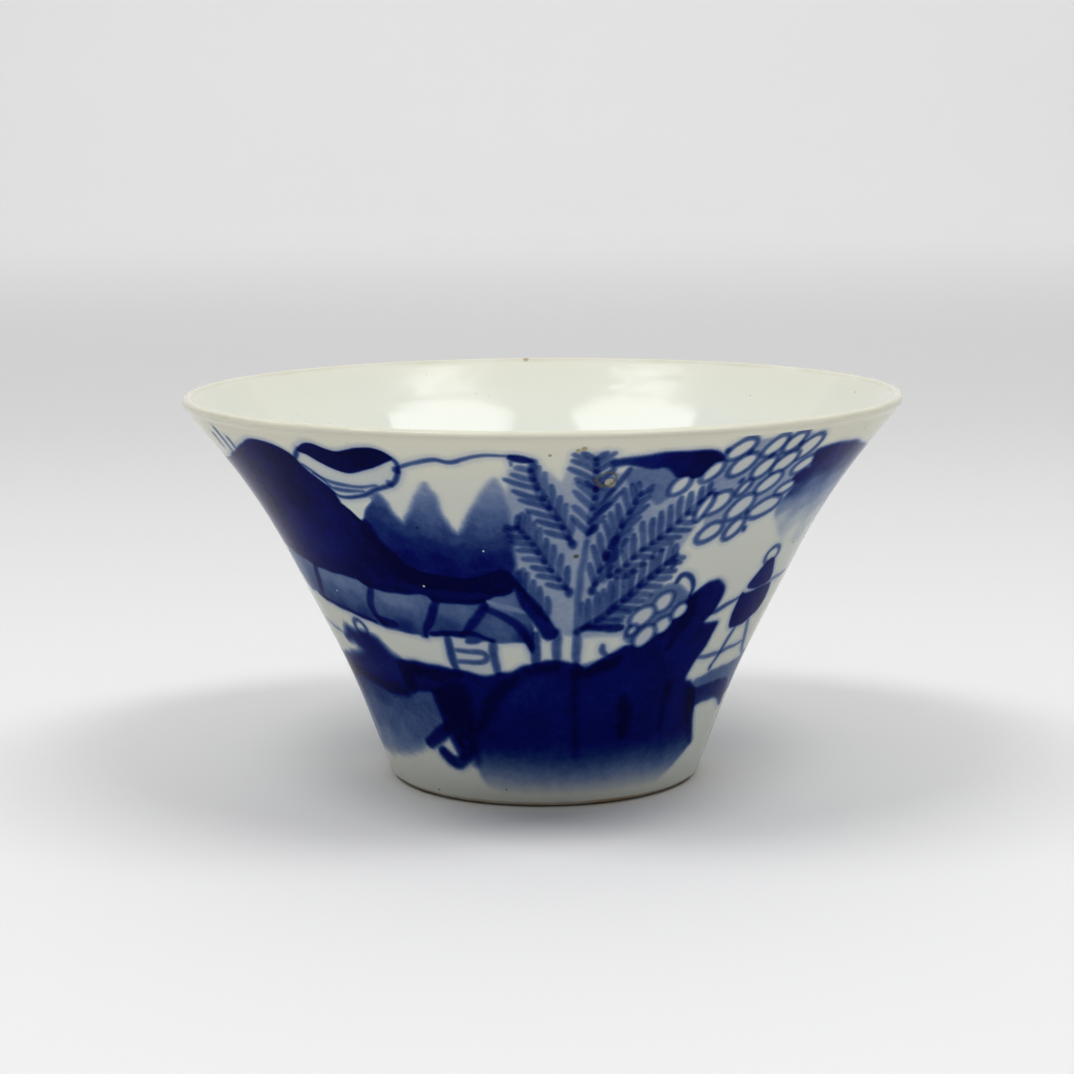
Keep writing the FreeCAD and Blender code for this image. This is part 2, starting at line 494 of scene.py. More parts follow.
painting.strokes(
    1.0, 0.6,
    [(8, 16.5), (8.3, 13), (9, 10), (9.8, 6.3)],
    [(36, 14.5), (36.6, 11.5), (37.2, 8.7)],
    [(44, 13.5), (47, 11.5), (50, 9), (53, 7), (55.5, 6.1)],
    soft=0.5)
painting.wash(0.74, (-29, 14.4), (-22, 15), (-20.5, 9), (-22, 5.2), (-25, 6.6), (-27, 10.4), soft=0.7)
painting.strokes(
    1.5, 0.84,
    [(-30.8, 13.6), (-29.2, 10.4), (-28, 8), (-26.6, 6)],
    [(-38.6, 7.2), (-34.5, 8.2), (-30.6, 9.4), (-27, 10.2)],
    [(-33.8, 6.3), (-31.4, 5.4), (-29, 5.2), (-26, 5.8), (-23, 7.4)],
    [(-25.8, 13), (-26.6, 10), (-26, 7.4)],
    soft=0.36, start=0.8, end=0.6)

# The shore to the left: a rock on a bank, and a wide pale wash under it.
painting.wash(
    0.86, (-39, 17.1), (-42.5, 18), (-44.5, 19.1), (-46.8, 19.9), (-55, 20.1), (-57, 20.3), (-60, 19.3),
    (-61, 18.8), (-59.5, 18.6), (-57.5, 18.7), (-56, 18.2), (-54.8, 17.4), (-70, 15.8), (-78, 15.2),
    (-86, 14.4), (-88, 12.8), (-78, 13), (-66, 13.5), (-58, 13.6), (-46, 12.8), (-41, 13.2), (-38, 14.5),
    soft=0.75)
painting.wash(
    0.56, (-88, 14), (-70, 15), (-55, 14.6), (-41, 14.4), (-29, 14.2), (-28, 11), (-30, 9), (-36, 8.4),
    (-40, 7.4), (-44, 6.4), (-50, 5.6), (-58, 5), (-68, 4.6), (-82, 5), (-90, 8), soft=0.9,
    shades=[
        (-86, 12, 0.5), (-70, 12.5, 0.72), (-55, 12.5, 0.72), (-44, 12.5, 0.66), (-35, 12.5, 0.6),
        (-66, 9, 0.6), (-54, 9, 0.56), (-44, 9, 0.56), (-36, 10, 0.56), (-60, 6, 0.4), (-50, 7, 0.46),
        (-76, 7, 0.4)])
painting.stroke(1.0, 0.7, (-53, 13.6), (-50, 13.2), (-46, 13.2), (-42, 13.2), soft=0.4)
painting.ring((-50.3, 20.7), 2.0, 0.8, width=0.5, tone=0.6)
painting.stroke(0.35, 0.35, (-61, 19.2), (-66, 19.6), (-72, 20.2))

# The great mountain and the peaks beyond it.
painting.wash(
    0.9, (-104, 33), (-98, 36), (-90, 38), (-80, 39), (-70, 39.5), (-60, 41.2), (-53, 42.8), (-49, 43.2),
    (-46, 42.9), (-43.5, 42.2), (-42.4, 41.6), (-41, 40), (-38, 38), (-37.7, 37), (-35.3, 35), (-33, 32),
    (-30, 30), (-26, 29), (-20, 28.5), (-14, 28.5), (-9, 29.5), (-6.5, 29), (-6.4, 27), (-10, 26.5),
    (-12, 25.8), (-14, 25.5), (-18, 25.3), (-22, 25.4), (-24.5, 25.5), (-25.5, 26), (-28, 26.2),
    (-31, 26), (-35, 26), (-41, 26.4), (-43, 27), (-45, 27.2), (-57, 27.6), (-60, 28), (-72, 28.9),
    (-84, 29.5), (-98, 30.5), soft=0.25,
    shades=[
        (-90, 34, 0.76), (-75, 34, 0.88), (-62, 36, 0.93), (-53, 38, 0.94), (-47, 40, 0.95),
        (-55, 32, 0.86), (-48, 31, 0.87), (-42, 35, 0.94), (-38, 34, 0.96), (-40, 29, 0.93),
        (-34, 28.5, 0.95), (-28, 27.5, 0.92), (-20, 27, 0.9), (-12, 28, 0.92), (-8, 28.5, 0.93),
        (-65, 30, 0.88)])
painting.wash(
    0.6, (-35.5, 33), (-34.7, 34.5), (-29.3, 38), (-27.8, 37.2), (-27.5, 36), (-25.8, 34.6),
    (-24.5, 35.3), (-19.5, 39.4), (-18.8, 39), (-18, 38), (-17.9, 36), (-16.8, 34.2), (-15.8, 33.7),
    (-14.5, 34.3), (-9.5, 39), (-7.8, 40.2), (-7.2, 39.8), (-6, 37), (-6.4, 27.5), (-15, 27), (-28, 27.5),
    (-33, 30), soft=0.5,
    shades=[
        (-29.3, 37.6, 0.55), (-31, 36, 0.66), (-28.6, 35.5, 0.66), (-19.5, 38.8, 0.4), (-20.5, 37, 0.48),
        (-20, 35.5, 0.54), (-8, 39.6, 0.38), (-8.6, 37.5, 0.44), (-9.5, 35.5, 0.52), (-31, 34, 0.78),
        (-26, 34, 0.68), (-21, 34, 0.64), (-16, 33, 0.64), (-10, 34, 0.58), (-28, 32.6, 0.84),
        (-22, 32.5, 0.82), (-16, 31.8, 0.82), (-9, 32.5, 0.7), (-28, 30.5, 0.9), (-20, 30.5, 0.9),
        (-12, 30.3, 0.9), (-8, 31, 0.84), (-20, 28.5, 0.88), (-10, 28.5, 0.9)])
painting.stroke(1.1, 0.8, (-36, 35.5), (-34, 34), (-33, 32), (-30, 30), (-29, 28), soft=0.35)
painting.strokes(
    0.9, 0.55,
    [(-65.5, 42.6), (-65.6, 41.3)],
    [(-62, 43.6), (-62.3, 40.6)],
    [(-59.3, 42.6), (-59.5, 41)],
    soft=0.2)

# The cloud like a boat over the mountain, and the far skyline drawn from it.
painting.wash(
    0.08, (-40.5, 42.3), (-36, 40.6), (-31, 40.3), (-25, 41.6), (-23, 41.5), (-23.4, 40.4), (-25.5, 39.4),
    (-29, 38.6), (-33, 37.8), (-37, 37.7), (-39.2, 39.2), (-41.4, 41), soft=0.25, wipes=True)
painting.wash(
    0.97, (-40.5, 42.6), (-38.5, 43.3), (-36.5, 43.5), (-34.5, 43.1), (-32.5, 42.8), (-30.5, 43),
    (-28.5, 43.4), (-26, 43.5), (-24, 43), (-23.2, 42.3), (-25, 41.8), (-28, 41), (-31, 40.5),
    (-33, 40.4), (-35.5, 40.8), (-37.5, 41.5), (-39, 42.2), soft=0.18)
painting.wash(
    0.0, (-37.6, 36.9), (-33, 37.6), (-30.2, 37.4), (-32.4, 36), (-34.7, 34.6), (-36.4, 35.8), soft=0.2,
    wipes=True)
painting.stroke(0.5, 0.7, (-42.4, 41.4), (-41.2, 42.2), (-40, 42.9))
painting.stroke(
    0.5, 0.7, (-23.2, 42.4), (-22.6, 41.8), (-22.7, 41), (-23.4, 40.3), (-24.5, 39.6), (-25.5, 39.2),
    (-27, 38.8), (-29, 38.4), (-31, 37.9), (-33, 37.5), (-35, 37.3), (-37, 37.4), (-38, 37.8))
painting.strokes(
    0.45, 0.6,
    [(-40, 39.9), (-37, 39), (-33, 38.7), (-28, 39)],
    [(-38.6, 38.5), (-35, 38.1), (-31, 38.3)],
    [(-41.3, 40.8), (-39.6, 39.9), (-38, 38.6)])
painting.stroke(
    0.45, 0.65, (-22.5, 41.3), (-21.5, 41.6), (-20, 42), (-18, 42.3), (-16, 42.4), (-14.5, 42.2),
    (-13.3, 42.3), (-12, 42.6), (-10, 42.9), (-8, 43.1), (-6, 43.1), (-4.5, 43))
painting.stroke(0.9, 0.85, (-4.8, 42.9), (-3, 42.6), (-1.8, 42.4))
painting.stroke(0.4, 0.6, (-4.8, 42.4), (-4.7, 42))
painting.dot((-23, 41), 0.8, 0.7)
painting.dot((-25.3, 39.4), 0.8, 0.6)

# The wall and the tiled roof below the mountain.
painting.wash(
    0.5, (-72, 24.3), (-65, 24), (-62, 23.4), (-50, 22.5), (-40, 21.4), (-31, 21.1), (-30, 20.8),
    (-28.5, 20.8), (-27.5, 21.1), (-19, 21.2), (-18.6, 20.6), (-16, 20.5), (-14, 20.9), (-10, 20.7),
    (-5, 20.9), (-3.7, 20.4), (-2.9, 19.5), (-2.3, 20.5), (-3, 24), (-6.5, 27), (-12, 26.2), (-18, 25.8),
    (-24, 26), (-31, 26.6), (-41, 27), (-72, 29.2), soft=0.22,
    shades=[
        (-68, 27, 0.45), (-65, 25, 0.62), (-55, 27, 0.42), (-50, 26.5, 0.42), (-45, 26.5, 0.44),
        (-54, 24.8, 0.6), (-48, 24.4, 0.62), (-54, 23.3, 0.76), (-46, 22.7, 0.78), (-36, 25.3, 0.46),
        (-32, 25, 0.46), (-37, 23.5, 0.62), (-31, 23.3, 0.6), (-34, 22, 0.76), (-30, 24, 0.5),
        (-22, 24.8, 0.5), (-18, 24.6, 0.5), (-22, 22.4, 0.7), (-16, 21.2, 0.72), (-9, 25.8, 0.5),
        (-4, 24, 0.6), (-10, 22.6, 0.6), (-10, 21.4, 0.6), (-4, 21.5, 0.8), (-14, 24, 0.66),
        (-70, 25, 0.5)])
painting.strokes(
    1.0, 0.76,
    [(-58, 27.8), (-60, 26), (-62, 24), (-61, 23.4)],
    [(-40, 26.3), (-41.5, 25), (-42.3, 24), (-42, 22.8), (-40, 21.9)],
    [(-23.8, 25.3), (-25, 24.2), (-26.5, 23), (-28, 22), (-28.8, 21)],
    [(-12.5, 25.5), (-14, 24.3), (-16, 23), (-18, 22), (-19.5, 21.5)],
    [(-12.5, 24.8), (-9, 24), (-6, 23), (-4, 21.5), (-3, 20)],
    soft=0.25)
painting.wash(0.8, (-42.5, 22.9), (-39, 22.6), (-36, 22.2), (-37, 21.6), (-41, 21.8), soft=0.3)
painting.stroke(0.6, 0.78, (-27, 21.4), (-22, 21.6), (-17, 21.7), (-14, 21.3), (-12, 21))
painting.wash(
    0.4, (-12, 25.9), (-8, 25.5), (-4, 24.7), (-3.4, 24.2), (-8, 24.8), (-11.5, 25.3), soft=0.2,
    wipes=True)
painting.stroke(0.5, 0.75, (-65, 23.8), (-58, 23.2), (-50, 22.6), (-43, 21.9), end=0.8)

# The pavilion under the roof.
painting.wash(0.12, (-23, 20.8), (-12, 20.4), (-12, 17), (-23, 17.2), soft=0.3)
painting.stroke(0.85, 0.68, (-23, 21.3), (-23.2, 19), (-22.8, 17.2), end=0.8, soft=0.25)
painting.stroke(0.85, 0.62, (-12, 21), (-12.2, 19), (-11.8, 16.9), end=0.8, soft=0.25)
painting.stroke(
    0.62, 0.58, (-21.5, 19.5), (-17, 19.5), (-14.6, 19.3), (-14, 18.8), (-15, 18.3), (-17.5, 18.2),
    (-21.5, 18.1), end=0.8, soft=0.22)

# The pine in front of it all: a pale wash, stems, and needles flicked off them wet.
painting.wash(
    0.27, (-6, 26), (-6.3, 31), (-6, 36), (-5.5, 40), (-4.5, 41.8), (-1, 41.5), (1, 41), (3, 40), (4, 42),
    (6, 43), (8, 43.4), (10, 43), (11, 41), (14, 40.8), (19, 39.5), (21, 38), (24, 37.5), (26, 37.3),
    (28, 38.8), (30, 39.5), (27, 37), (26.5, 35), (28.5, 34), (25.5, 29.5), (26, 28), (20, 22),
    (15, 21.5), (8, 21.5), (-1, 22.5), soft=0.35)
painting.stroke(1.7, 0.86, (1.2, 22), (-1.5, 24.3), (-4, 26.2), (-6.4, 28.6), start=1, end=0.3, soft=0.3)
painting.branch(0.95, 0.56, [(-1.9, 41.4), (-0.6, 38.7), (2.5, 35.6), (5.2, 32.8)], 8, (-4.5, 1), (0.2, 2.8))
painting.branch(0.85, 0.52, [(-4.6, 34.7), (-2.2, 32.8), (1.2, 29.8), (5.2, 27)], 9, (-3.9, 0.4), (0.3, 2.9))
painting.branch(0.6, 0.5, [(-5.4, 27.8), (-3.2, 25.8), (1.2, 23.4)], 7, (0.1, 3))
painting.branch(0.8, 0.56, [(7.9, 42.7), (8.1, 41), (8.5, 39)], 5, (-3.8, 1.3), (2.4, 1.2))
painting.branch(0.75, 0.5, [(8.5, 39), (8.3, 36.5), (8, 33.6)], 5, (-3.2, 2.1), (3, 2.3))
painting.branch(
    0.85, 0.52,
    [(16.2, 38.5), (14.8, 36.1), (13.2, 33), (11.6, 30.2), (9.9, 26.9)],
    9, (-1.7, 2.8), (3.5, 2.2))
painting.branch(
    0.85, 0.52,
    [(29.4, 38.2), (26, 35.7), (22.8, 33.4), (19, 31.6), (15.6, 29.6), (12.2, 28.2)],
    12, (-1.1, 2.9), (3.9, -0.1))
painting.branch(
    1.05, 0.62,
    [(26.6, 30.6), (22, 28.2), (16.5, 25.4), (12, 23.5), (7.4, 22.1)],
    13, (-0.4, 3.1), (5, -0.2))
painting.stroke(0.7, 0.6, (13.4, 41.3), (11.2, 38.9), (9, 36.2), end=0.8, soft=0.22)
painting.stroke(0.7, 0.6, (12.6, 38.6), (10.6, 37), (8.8, 35.4), end=0.8, soft=0.22)
painting.stroke(0.7, 0.55, (7.4, 22.4), (7.2, 25), (7.4, 29), (8, 33), end=0.8, soft=0.25)
for place in ((5.4, 32.6), (8.9, 34.4), (13.2, 32.9), (11.9, 31.2), (9.9, 27), (26.6, 29.6), (5.3, 26.9)):
    painting.dot(place, 1.15, 0.66)
painting.stroke(1.0, 0.8, (17.5, 22.3), (15, 22.4), (9, 22.6), soft=0.25)
painting.stroke(1.0, 0.68, (-1.9, 21.8), (-2.1, 20), (-2, 18.2), end=0.8, soft=0.25)
painting.stroke(0.9, 0.58, (2.9, 22.2), (3, 20), (3, 18.2), end=0.8, soft=0.25)
painting.stroke(0.85, 0.56, (7.5, 22), (7.7, 20), (7.8, 18), end=0.8, soft=0.25)
painting.stroke(0.6, 0.6, (13.9, 20.2), (14, 19.6), (15, 19.1), (16.3, 19), soft=0.2)

# Cobbles at the pine's foot.
painting.wash(
    0.52, (19, 21), (20.5, 24), (24, 26.5), (28, 27.2), (32, 26), (34, 25), (33, 22), (29, 20.5),
    (24, 19.8), soft=0.35)
for place, across, up in (((26.7, 25.1), 1.9, 1.1), ((22.3, 23.5), 2.4, 1.1), ((28.2, 22.2), 2, 1),
                          ((24, 21), 2.1, 1.2), ((31.8, 23.7), 1.6, 0.9), ((20.5, 21.9), 0.9, 0.5)):
    painting.ring(place, 1.1 * across, up, width=0.5, tone=0.56, light=0.12, lean=0.3)
painting.stroke(0.6, 0.72, (28.6, 27.3), (29.2, 28), (30.6, 28.2), (32.3, 27.6), (33.3, 26.5), (33.2, 25.5))

# The dark cloud to the right of the pine's top, with its wash below.
painting.wash(
    0.48, (13.5, 41.3), (19, 41.2), (21, 40.6), (22, 38.6), (19.5, 37), (16.5, 39), (13.5, 39.5),
    soft=0.35)
painting.wash(
    0.95, (10.4, 41.9), (11, 42.4), (18, 43), (25, 43), (27.5, 42.6), (28.5, 42), (28, 41.6), (27, 41.5),
    (26.6, 40.7), (25.8, 40.1), (24, 39.9), (21.5, 40.1), (20.5, 40.7), (19, 41.3), (17, 41.3),
    (13, 41.8), (10.6, 41.6), soft=0.32,
    shades=[(11, 42, 0.76), (16, 42.3, 0.84), (20, 42, 0.93), (25, 41.6, 0.97)])

# The bunch of grapes over the path.
painting.wash(
    0.3, (28.5, 43.4), (33, 43.8), (43, 44), (46.5, 43.2), (49, 40.8), (47.5, 38.6), (47.6, 37), (45, 36),
    (44, 34.6), (40, 34.2), (38.5, 32.4), (35, 32.8), (31.5, 32.2), (29.5, 36), (27.5, 37.4),
    (28.4, 38.8), (26.5, 40.6), (28, 42), soft=0.3)
for place, across, up in (
        ((30.9, 42.9), 1.7, 0.95), ((27.5, 40.5), 1.2, 1), ((32.8, 41), 1.8, 1.05),
        ((37.4, 42.9), 1.5, 0.95), ((41.2, 43.1), 1.4, 1), ((45.3, 42.3), 1.9, 1.15),
        ((37.6, 40.4), 1.5, 1.05), ((41.9, 40.7), 1.7, 1.1), ((47.5, 40.1), 1.7, 0.8),
        ((41, 38.4), 1.8, 1), ((46.5, 37.5), 1.6, 0.65), ((35.7, 38.1), 0.8, 0.7), ((31.3, 36.6), 2, 1.2),
        ((37.2, 35.8), 2, 1.25), ((43.7, 35.4), 2.9, 0.95), ((32.5, 33.1), 1.9, 0.95),
        ((38.2, 33.2), 1.5, 0.95), ((22.5, 39.1), 1.3, 0.95), ((28.9, 36.2), 0.9, 1.3)):
    painting.ring(place, 1.1 * across, 1.08 * up, width=0.55, tone=0.58, light=0.08, lean=0.45)
for place in ((28.6, 42.9), (33, 42.4), (37.8, 41.8), (43, 42.9), (34.3, 39), (47.5, 38.6), (39.5, 35),
              (41, 33)):
    painting.dot(place, 0.7, 0.65)

# The mountain on the right, fading into mist.
painting.wash(
    0.9, (48.5, 41.5), (50, 41.9), (53, 42), (57, 42), (62, 41.6), (72, 40.3), (90, 39), (104, 36.8),
    (100, 33), (90, 31), (78, 30), (66, 29.8), (57, 30.6), (51, 33), (47.8, 34.8), (48.8, 37.2),
    (48.5, 37.9), (47.3, 38.6), (48.5, 39.3), (50, 39.6), (49.5, 40.3), soft=0.4,
    shades=[
        (52, 41, 0.92), (60, 41, 0.9), (68, 40, 0.86), (78, 39, 0.78), (90, 38, 0.7), (50, 38.6, 0.92),
        (56, 39.3, 0.84), (64, 39, 0.68), (74, 38, 0.52), (50, 36.8, 0.72), (56, 37.4, 0.52),
        (64, 37, 0.42), (76, 36, 0.36), (90, 35, 0.34), (50, 35, 0.36), (56, 35, 0.3), (66, 34.6, 0.26),
        (78, 33.6, 0.2), (51, 33.4, 0.14), (58, 32.6, 0.12), (68, 32, 0.1), (80, 31.6, 0.06),
        (60, 31, 0.0), (72, 30.4, 0.0), (90, 32, 0.04), (100, 35, 0.2)])

# A traveller with a pack on the bridge: a plain brush figure of two blots and four lines.
painting.wash(
    0.85, (56.2, 28.2), (54, 27.3), (52.2, 26), (51.8, 25.2), (55, 24.9), (60, 25), (61.7, 25.7),
    (60.5, 26.8), (58.5, 28.1), soft=0.2)
painting.wash(
    0.88, (50.3, 24.6), (52, 24.4), (55, 24.6), (60, 24.8), (63, 24.9), (64.5, 23.8), (65, 22.7),
    (63.5, 21.6), (61, 21), (59.5, 20.7), (57, 20.4), (54, 20.3), (51.5, 20.5), (50.5, 21.5), (50.2, 23),
    soft=0.2)
painting.ring((56.1, 28.8), 2.3, 0.85, width=0.45, tone=0.6)
painting.stroke(0.6, 0.6, (41.5, 22.9), (44, 23.1), (47, 23.7), (50.5, 24.3))
painting.stroke(0.5, 0.4, (62, 25.3), (66, 25.4), (72, 25.6))
painting.stroke(0.6, 0.55, (54.5, 20.3), (53.5, 18.8), (52.3, 17), (51, 15.7))
painting.stroke(0.7, 0.5, (60.5, 20.5), (63, 18.9), (66, 17.3), (69, 16.2), (73, 15.5))
painting.wash(
    0.5, (46, 14.3), (50, 14.6), (53, 15), (60, 15.1), (68, 15.3), (76, 16), (88, 16), (96, 14.5),
    (88, 12), (76, 11), (70, 10.6), (66, 10.5), (60, 11.5), (52, 12), (47, 12.8), soft=0.3)
painting.wash(
    0.72, (45, 13.3), (50, 13.2), (58, 13.4), (66, 13), (70, 12), (72, 9.5), (68, 9.8), (65, 10.7),
    (60, 11.1), (54, 11.1), (50.5, 10.9), (48, 10.6), soft=0.3)
painting.stroke(0.55, 0.5, (43.7, 17.3), (50, 17.2), (56, 17.5), (64, 17.7))
painting.dot((51, 15.5), 0.7, 0.55)

# Round the back the river widens: far peaks, a sailing boat, two reedy banks and birds.
for middle, top, spread in ((112, 36.5, 9), (126, 38.5, 8), (137, 36, 7), (-128, 36.5, 8), (-140, 38.6, 9)):
    painting.wash(
        0.5, (middle - spread, 30), (middle - spread * 0.55, 33), (middle - 1.5, top - 0.4),
        (middle, top), (middle + spread * 0.3, top - 2), (middle + spread * 0.6, 32.5),
        (middle + spread, 30), (middle, 29.4), soft=0.4,
        shades=[(middle, top - 1, 0.36), (middle, 33, 0.55), (middle, 30.5, 0.74)])
for start, stop, low in ((98, 152, 27.4), (-156, -112, 27.6)):
    third = (stop - start) / 3
    painting.wash(
        0.8, (start, low + 1.6), (start + third, low + 2.9), (stop - third, low + 2.4), (stop, low + 0.8),
        (stop - third, low), (start + third, low + 0.2), soft=0.35)
painting.wash(
    0.88, (168, 26.4), (171, 25.4), (176, 24.9), (184, 24.9), (189, 25.6), (192, 26.8), (186, 26),
    (176, 25.8), soft=0.18)
painting.wash(0.55, (178, 26.6), (178.5, 30), (179.5, 33), (184, 31.5), (187, 28.5), (187.5, 26.9), soft=0.2)
painting.strokes(
    0.45, 0.75,
    [(178, 26), (178.3, 30), (179.2, 33.6)],
    [(179.4, 32), (185, 30.6)],
    [(179, 29.6), (186.6, 28.6)])
for turn, height in ((158, 38.5), (163, 40), (171, 38.8), (-164, 39.6)):
    painting.stroke(
        0.4, 0.65, (turn - 2.2, height + 0.5), (turn - 0.8, height + 0.7), (turn, height),
        (turn + 0.9, height + 0.8), (turn + 2.3, height + 0.4))
painting.wash(
    0.85, (98, 12), (104, 15), (112, 17.6), (120, 17.8), (127, 16), (134, 17), (142, 19.2), (150, 19),
    (156, 16.2), (164, 14.4), (170, 11), (162, 7), (146, 5), (126, 4.4), (108, 6), soft=0.35,
    shades=[
        (112, 16, 0.9), (126, 14, 0.85), (146, 17, 0.9), (160, 12.5, 0.8), (112, 11, 0.75),
        (130, 10, 0.72), (150, 11, 0.75), (115, 7, 0.5), (135, 6, 0.45), (152, 7, 0.5)])
painting.wash(
    0.85, (-166, 11), (-160, 14.6), (-152, 17.2), (-145, 18.6), (-137, 17), (-130, 15.4), (-120, 16.2),
    (-111, 15), (-100, 13), (-104, 8), (-118, 5.2), (-138, 4.6), (-156, 6), soft=0.35,
    shades=[
        (-150, 15, 0.88), (-142, 17, 0.9), (-120, 14, 0.85), (-155, 10, 0.7), (-135, 11, 0.76),
        (-115, 10, 0.68), (-150, 6.5, 0.48), (-128, 6, 0.46), (-112, 7, 0.5)])
for root, lean in ((-153, -2), (-150, 0.5), (-147, 2.5), (-123, -2.5), (-119.5, 0), (-117, 3),
                   (145, -2), (148, 1.5)):
    painting.stroke(0.5, 0.65, (root, 16.6), (root + lean * 0.4, 19), (root + lean, 22.5))
    painting.stroke(0.4, 0.55, (root, 18), (root + lean * 0.9 + 1, 20.3))
for turn, height, length in ((172, 21.5, 9), (186, 20.4, 11), (160, 22.4, 7), (-168, 22, 8), (178, 18.6, 8)):
    painting.stroke(
        0.4, 0.45, (turn, height), (turn + length / 3, height + 0.25),
        (turn + length * 0.7, height - 0.2), (turn + length, height + 0.1))


SLACK = 1.25                                     # an edge is cut past this many spacings


def painted(bm, painting, passes):
    """Divides the wall's faces where the painting needs it, and lays the tones on its points."""
    shown = bm.verts.layers.float.new("shown")
    cobalt = bm.verts.layers.float.new("cobalt")

    def places(verts):
        return np.array([vert.co for vert in verts]) / MM

    def on_wall(points):
        return np.abs(np.hypot(points[:, 0], points[:, 1]) - wall_radius(points[:, 2])) < GLAZE / 3

    for vert, outward in zip(bm.verts, on_wall(places(bm.verts))):
        vert[shown] = outward
    for _ in range(passes):
        outer_faces = [face for face in bm.faces if all(vert[shown] for vert in face.verts)]
        bmesh.ops.triangulate(bm, faces=outer_faces)
        bm.verts.index_update()
        _, spacing = painting.laid(places(bm.verts))
        long = [edge for edge in bm.edges
                if edge.verts[0][shown] and edge.verts[1][shown]
                and edge.calc_length() / MM > SLACK * min(spacing[vert.index] for vert in edge.verts)]
        cut = bmesh.ops.subdivide_edges(bm, edges=long, cuts=1)
        for item in cut["geom_inner"]:
            if isinstance(item, bmesh.types.BMVert):
                stretch = wall_radius(item.co.z / MM) * MM / math.hypot(item.co.x, item.co.y)
                item.co.x *= stretch
                item.co.y *= stretch
                item[shown] = 1
    bmesh.ops.triangulate(bm, faces=bm.faces)
    verts = [vert for vert in bm.verts if vert[shown]]
    tones, _ = painting.laid(places(verts))
    for vert, tone in zip(verts, tones):
        vert[cobalt] = tone
    for face in bm.faces:
        face.smooth = True


STRIP_WIDTH = 0.96                               # a half turn of the wall, as a share of the map
STRIP_HEIGHT = 0.45
FRONT_STRIP, BACK_STRIP, HIDDEN_STRIP = 0.53, 0.06, 0.005                # where each one starts


def unrolled(bm):
    """Lays the wall flat in two half turns, one above the other, and its hidden side below them."""
    uv = bm.loops.layers.uv.new("OFBake")
    shown = bm.verts.layers.float["shown"]
    low, high = BARE_RIM * MM, LIP_LINE * MM
    for face in bm.faces:
        middle = face.calc_center_median()
        facing = math.degrees(math.atan2(middle.x, -middle.y))
        seen = all(vert[shown] for vert in face.verts)
        front = abs(facing) < 90
        for loop in face.loops:
            place = loop.vert.co
            angle = math.degrees(math.atan2(place.x, -place.y))
            angle = facing + (angle - facing + 180) % 360 - 180
            rise = (place.z - low) / (high - low)
            if seen and front:
                loop[uv].uv = (0.5 + angle / 180 * STRIP_WIDTH, FRONT_STRIP + STRIP_HEIGHT * rise)
            elif seen:
                from_back = (angle + 360) % 360 - 180
                loop[uv].uv = (0.5 + from_back / 180 * STRIP_WIDTH, BACK_STRIP + STRIP_HEIGHT * rise)
            else:
                depth = wall_radius(place.z / MM) - math.hypot(place.x, place.y) / MM
                loop[uv].uv = (0.5 + angle / 360 * STRIP_WIDTH, HIDDEN_STRIP + 0.03 * rise + 0.02 * depth)


COBALT = [                                        # what the glaze's white is multiplied by, at each tone
    (0.00, (1, 1, 1)), (0.14, (0.69, 0.74, 0.89)), (0.27, (0.42, 0.49, 0.72)), (0.41, (0.22, 0.30, 0.59)),
    (0.54, (0.11, 0.177, 0.44)), (0.65, (0.042, 0.0875, 0.306)), (0.76, (0.010, 0.03, 0.22)),
    (0.86, (0.003, 0.0066, 0.175)), (1.00, (0.001, 0.002, 0.06)),
]

WALL_WHITE = (0.700, 0.715, 0.640)
WALL_COOL = (0.665, 0.700, 0.645)

PIT_GREY = (0.10, 0.105, 0.08)
PIT_CLAY = (0.40, 0.39, 0.30)
IRON_TAN = (0.42, 0.37, 0.22)
BURST = (0.50, 0.56, 0.62)
KILN_MARKS = [                                    # degrees, height, radius, hollow share, colour
    (10.6, 39.8, 0.62, 0.0, PIT_CLAY), (9.9, 40.2, 1.2, 0.76, PIT_GREY), (6.2, 31.2, 0.3, 0.0, PIT_GREY),
    (5.9, 43.8, 0.3, 0.0, IRON_TAN), (5.1, 43.6, 0.26, 0.0, IRON_TAN), (1.0, 43.1, 0.26, 0.0, IRON_TAN),
    (-25.6, 27.2, 0.13, 0.0, BURST), (-53.3, 25.0, 0.13, 0.0, BURST), (-11.3, 31.8, 0.11, 0.0, BURST),
]

outer = Material("outer_glaze_painted")
tone = outer.add("ShaderNodeAttribute", attribute_name="cobalt").outputs["Fac"]
grain = outer.level(outer.noise(1400.0, 3.0, 0.6), 0.3, 0.7, -0.03, 0.03)
pooling = outer.level(outer.noise(190.0, 3.0), 0.3, 0.7, -0.045, 0.045)
carried = outer.level(tone, 0.05, 0.3)
mottled = outer.math("ADD", tone, outer.math("MULTIPLY", carried, outer.math("ADD", grain, pooling)))
ramp = outer.add("ShaderNodeValToRGB", {"Fac": mottled})
bar = ramp.color_ramp.elements
while len(bar) < len(COBALT):
    bar.new(1.0)
for element, (position, colour) in zip(bar, COBALT):
    element.position = position
    element.color = (*colour, 1.0)
ground = outer.mix(outer.level(outer.noise(60.0), 0.35, 0.65), WALL_WHITE, WALL_COOL)
ground = outer.mix(outer.level(outer.height(), 0.038, 0.0444), ground, GLAZE_CREAM)
specks = outer.level(outer.noise(1100.0, 1.0), 0.79, 0.815)
ground = outer.mix(specks, ground, SPECK)
painted_wall = outer.mix(1.0, ground, ramp.outputs["Color"], blend="MULTIPLY")
ragged = outer.level(outer.noise(900.0, 3.0), 0.3, 0.7, -0.25, 0.25)
